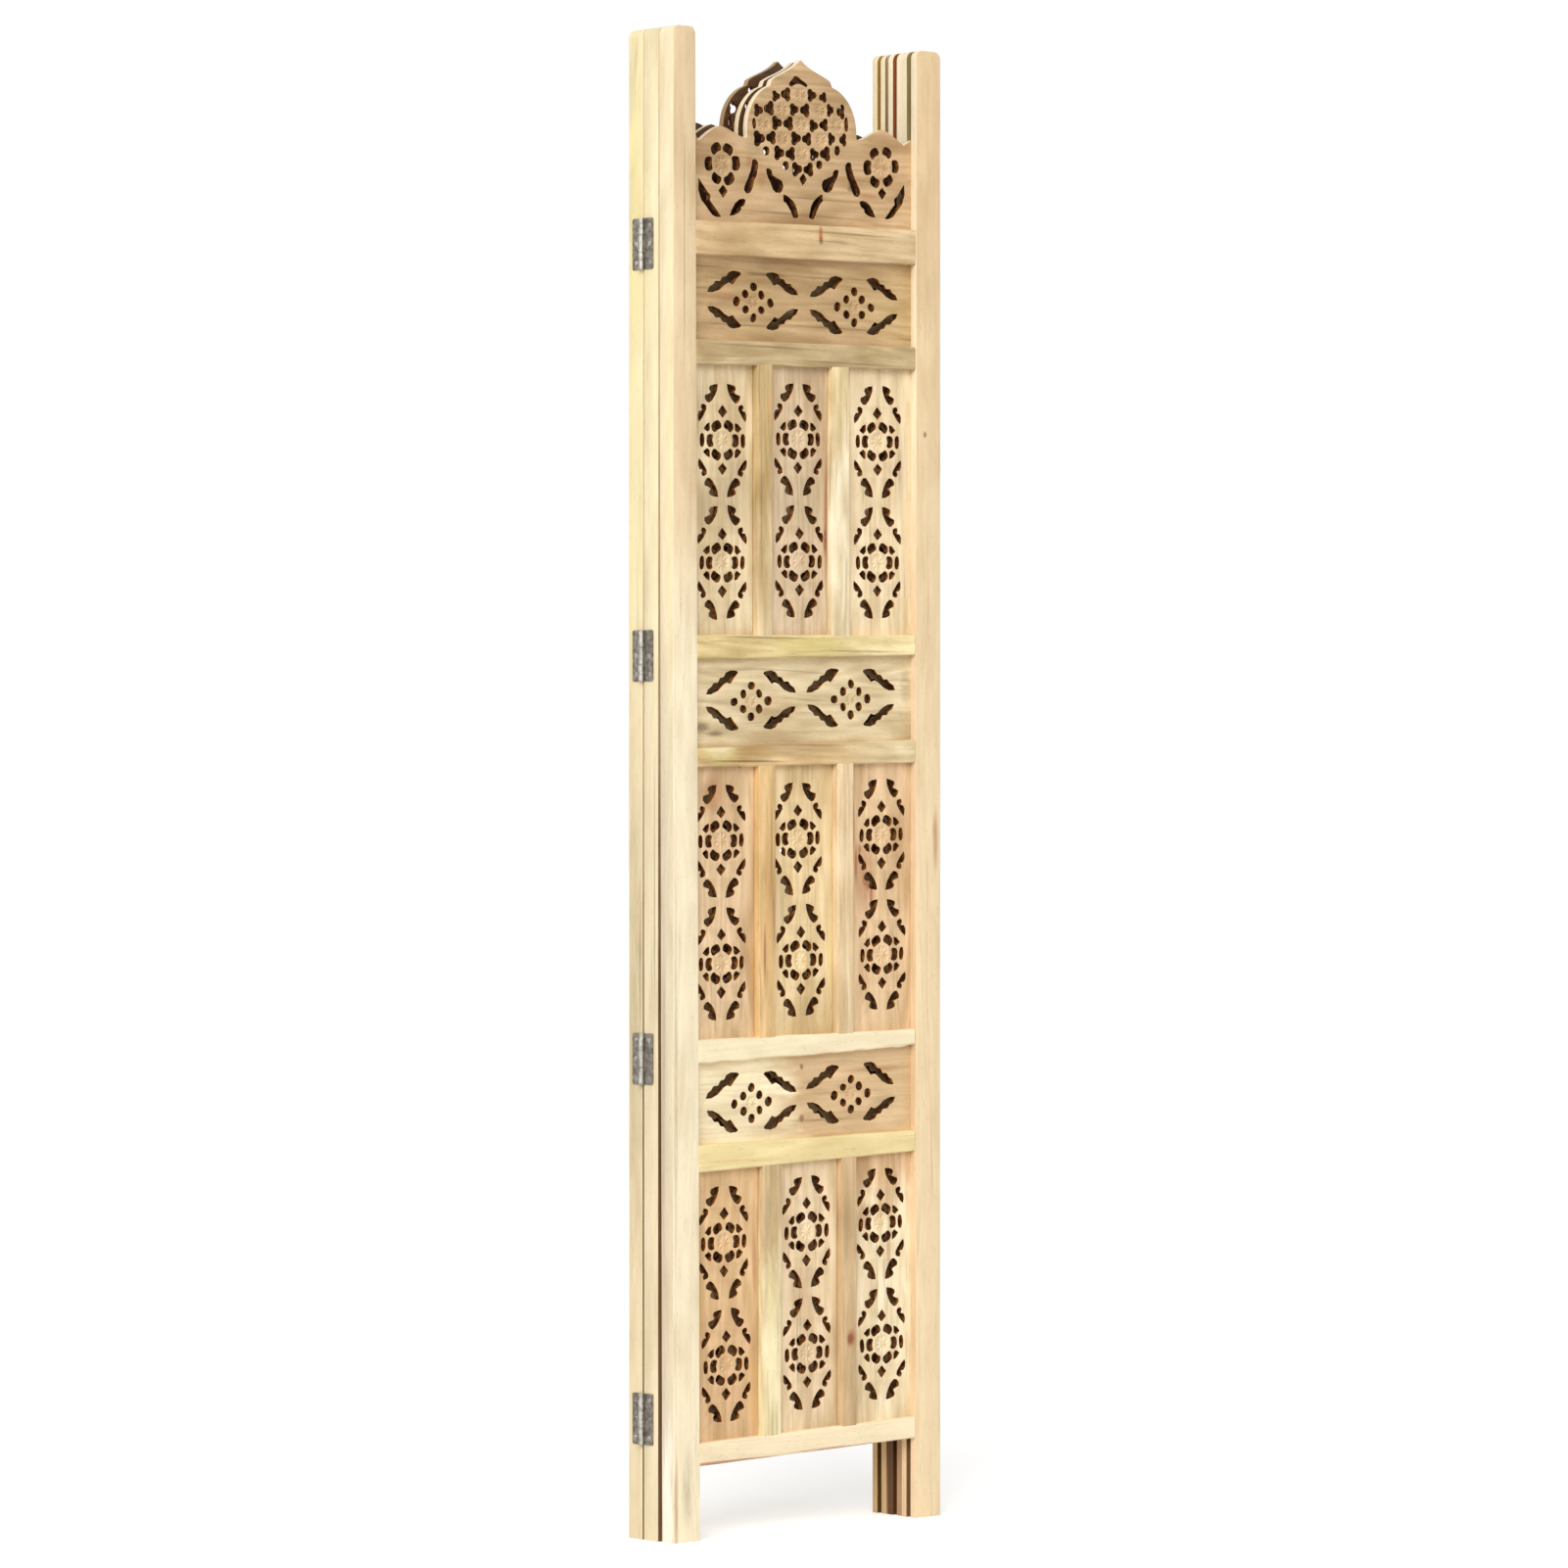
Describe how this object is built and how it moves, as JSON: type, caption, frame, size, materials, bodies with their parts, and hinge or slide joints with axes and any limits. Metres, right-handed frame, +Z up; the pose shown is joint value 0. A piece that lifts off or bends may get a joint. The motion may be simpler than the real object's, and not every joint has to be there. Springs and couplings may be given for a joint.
{
  "type": "carved jali screen",
  "caption": "Folding room screen of carved wood, shown folded: posts and rails hold boards pierced with flowers and leaves under an ogee crest, and steel butt hinges join the panels.",
  "frame": {"origin": "on the floor, under the middle of the folded stack of panels", "axes": "+X along a panel's width, to the right seen from the front; +Y from the front panel to the rear one; +Z up"},
  "size_m": [0.4124, 0.074, 1.65],
  "materials": {
    "post_wood": "waxed mango wood",
    "rail_wood": "waxed mango wood",
    "carved_wood": "carved mango wood, waxed",
    "batten_wood": "waxed mango wood",
    "hinge_steel": "zinc plated"
  },
  "bodies": {
    "middle_panel": {"middle_left_post": "post_wood", "middle_right_post": "post_wood", "middle_top_rail": "rail_wood", "middle_rail_2": "rail_wood", "middle_rail_3": "rail_wood", "middle_rail_4": "rail_wood", "middle_rail_5": "rail_wood", "middle_rail_6": "rail_wood", "middle_bottom_rail": "rail_wood", "middle_crest": "carved_wood", "middle_upper_frieze": "carved_wood", "middle_upper_slats": "carved_wood", "middle_middle_frieze": "carved_wood", "middle_middle_slats": "carved_wood", "middle_lower_frieze": "carved_wood", "middle_lower_slats": "carved_wood", "middle_battens": "batten_wood", "left_hinge_leaves_middle": "hinge_steel", "left_hinge_pins": "hinge_steel", "right_hinge_leaves_middle": "hinge_steel", "right_hinge_pins": "hinge_steel"},
    "front_panel": {"front_left_post": "post_wood", "front_right_post": "post_wood", "front_top_rail": "rail_wood", "front_rail_2": "rail_wood", "front_rail_3": "rail_wood", "front_rail_4": "rail_wood", "front_rail_5": "rail_wood", "front_rail_6": "rail_wood", "front_bottom_rail": "rail_wood", "front_crest": "carved_wood", "front_upper_frieze": "carved_wood", "front_upper_slats": "carved_wood", "front_middle_frieze": "carved_wood", "front_middle_slats": "carved_wood", "front_lower_frieze": "carved_wood", "front_lower_slats": "carved_wood", "front_battens": "batten_wood", "right_hinge_leaves_front": "hinge_steel"},
    "rear_panel": {"rear_left_post": "post_wood", "rear_right_post": "post_wood", "rear_top_rail": "rail_wood", "rear_rail_2": "rail_wood", "rear_rail_3": "rail_wood", "rear_rail_4": "rail_wood", "rear_rail_5": "rail_wood", "rear_rail_6": "rail_wood", "rear_bottom_rail": "rail_wood", "rear_crest": "carved_wood", "rear_upper_frieze": "carved_wood", "rear_upper_slats": "carved_wood", "rear_middle_frieze": "carved_wood", "rear_middle_slats": "carved_wood", "rear_lower_frieze": "carved_wood", "rear_lower_slats": "carved_wood", "rear_battens": "batten_wood", "left_hinge_leaves_rear": "hinge_steel"}
  },
  "joints": [
    {"name": "right_hinge_line", "type": "hinge", "parent": "middle_panel", "child": "front_panel", "pos_m": [0.20325, -0.0125, 0.132], "axis": [0, 0, 1], "range_deg": [0, 180]},
    {"name": "left_hinge_line", "type": "hinge", "parent": "middle_panel", "child": "rear_panel", "pos_m": [-0.20325, 0.0125, 0.132], "axis": [0, 0, 1], "range_deg": [0, 180]}
  ]
}
